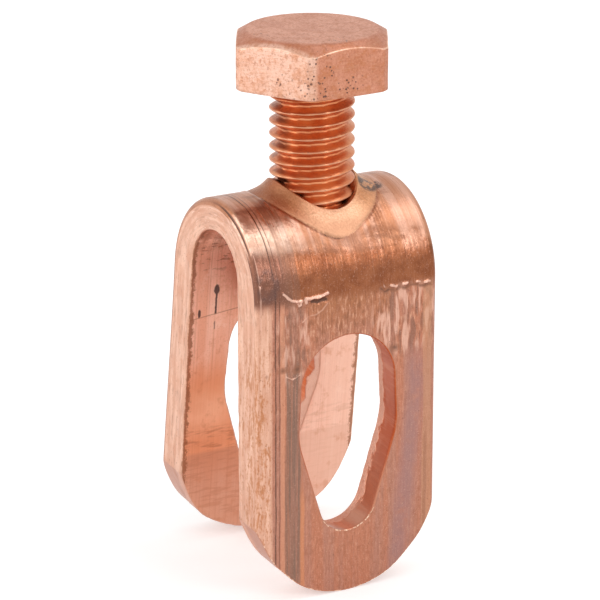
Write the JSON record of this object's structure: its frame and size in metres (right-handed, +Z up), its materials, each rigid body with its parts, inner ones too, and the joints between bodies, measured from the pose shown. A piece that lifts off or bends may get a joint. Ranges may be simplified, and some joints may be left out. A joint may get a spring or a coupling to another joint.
{
  "type": "earth rod clamp",
  "caption": "Copper earth rod clamp: a bent strap with a keyhole opening in each leg and a hex bolt through a flared collar that presses on the rod.",
  "frame": {"origin": "on the earth rod's line at the centre of the round bottom of the openings, under the bolt's axis and at the middle of the strip", "axes": "+Z up along the bolt towards its head, +X along the earth rod and out of the straight leg, +Y across the strip"},
  "size_m": [0.0255, 0.0234, 0.0648],
  "materials": {
    "strip_copper": "drawn copper strip, satin, lightly scratched",
    "bolt_copper": "forged copper alloy, satin, slightly pitted"
  },
  "bodies": {
    "clamp": {"clamp_body": "strip_copper"},
    "bolt": {"hex_bolt": "bolt_copper"}
  },
  "joints": [
    {"name": "bolt_travel", "type": "slide", "parent": "clamp", "child": "bolt", "axis": [0, 0, 1], "range_m": [-0.0105, 0.012]}
  ]
}
